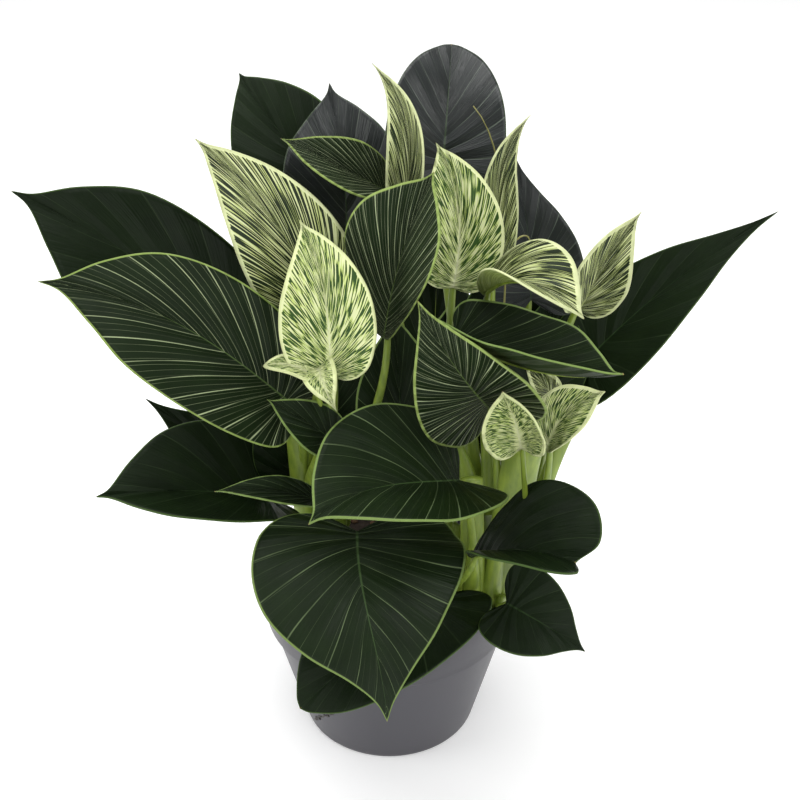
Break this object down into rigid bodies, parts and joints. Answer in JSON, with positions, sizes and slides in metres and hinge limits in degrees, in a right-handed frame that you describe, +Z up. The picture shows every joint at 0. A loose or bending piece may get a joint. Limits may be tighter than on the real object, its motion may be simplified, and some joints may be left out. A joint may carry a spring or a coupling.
{
  "type": "potted plant",
  "caption": "Bushy philodendron with pinstriped and cream-variegated leaves on upright stalks, in a tapered round plastic nursery pot with a rolled collar, standing free.",
  "frame": {"origin": "centre of the pot's base, on the surface that it stands on", "axes": "+Z up along the pot's axis, -Y towards the side of the plant that is meant to be seen, +X to that viewer's right"},
  "size_m": [0.2972, 0.2156, 0.3141],
  "materials": {
    "pot_plastic": "matte moulded polypropylene, dark grey with a violet cast",
    "compost": "rough moist peat and bark",
    "crown": "satin, sheathed in old leaf bases",
    "stalk": "satin yellow-green skin with fine flecks",
    "leaf_dark": "waxy satin, near-black green with a thin pale margin",
    "leaf_striped": "waxy satin, dark green with cream pinstripes along the side veins",
    "leaf_pale": "waxy satin, cream with dark green dashes between the side veins"
  },
  "bodies": {
    "root": {"pot": "pot_plastic", "compost": "compost", "crown_left": "crown", "crown_right": "crown", "blade_far_left": "leaf_dark", "stalk_far_left": "stalk", "blade_left_striped": "leaf_striped", "stalk_left_striped": "stalk", "blade_low_left": "leaf_dark", "stalk_low_left": "stalk", "blade_low_left_rear": "leaf_dark", "stalk_low_left_rear": "stalk", "blade_front_heart": "leaf_dark", "stalk_front_heart": "stalk", "blade_centre_front": "leaf_dark", "stalk_centre_front": "stalk", "blade_pale_oval": "leaf_pale", "stalk_pale_oval": "stalk", "blade_pale_upper_left": "leaf_pale", "stalk_pale_upper_left": "stalk", "blade_centre_striped": "leaf_striped", "stalk_centre_striped": "stalk", "blade_back_left": "leaf_dark", "stalk_back_left": "stalk", "blade_pale_right": "leaf_pale", "stalk_pale_right": "stalk", "blade_pale_curled": "leaf_pale", "stalk_pale_curled": "stalk", "blade_narrow_top": "leaf_pale", "stalk_narrow_top": "stalk", "blade_top": "leaf_dark", "stalk_top": "stalk", "blade_upper_left": "leaf_dark", "stalk_upper_left": "stalk", "blade_narrow_right": "leaf_pale", "stalk_narrow_right": "stalk", "blade_right_back": "leaf_dark", "stalk_right_back": "stalk", "blade_right_striped": "leaf_pale", "stalk_right_striped": "stalk", "blade_far_right": "leaf_dark", "stalk_far_right": "stalk", "blade_right_folded": "leaf_dark", "stalk_right_folded": "stalk", "blade_heart_up": "leaf_striped", "stalk_heart_up": "stalk", "blade_funnel": "leaf_pale", "stalk_funnel": "stalk", "blade_low_right_spoon": "leaf_dark", "stalk_low_right_spoon": "stalk", "blade_low_right": "leaf_dark", "stalk_low_right": "stalk", "blade_low_front": "leaf_dark", "stalk_low_front": "stalk", "blade_rear_left": "leaf_dark", "stalk_rear_left": "stalk", "blade_rear_right": "leaf_dark", "stalk_rear_right": "stalk", "blade_rear_middle": "leaf_striped", "stalk_rear_middle": "stalk"}
  },
  "joints": []
}
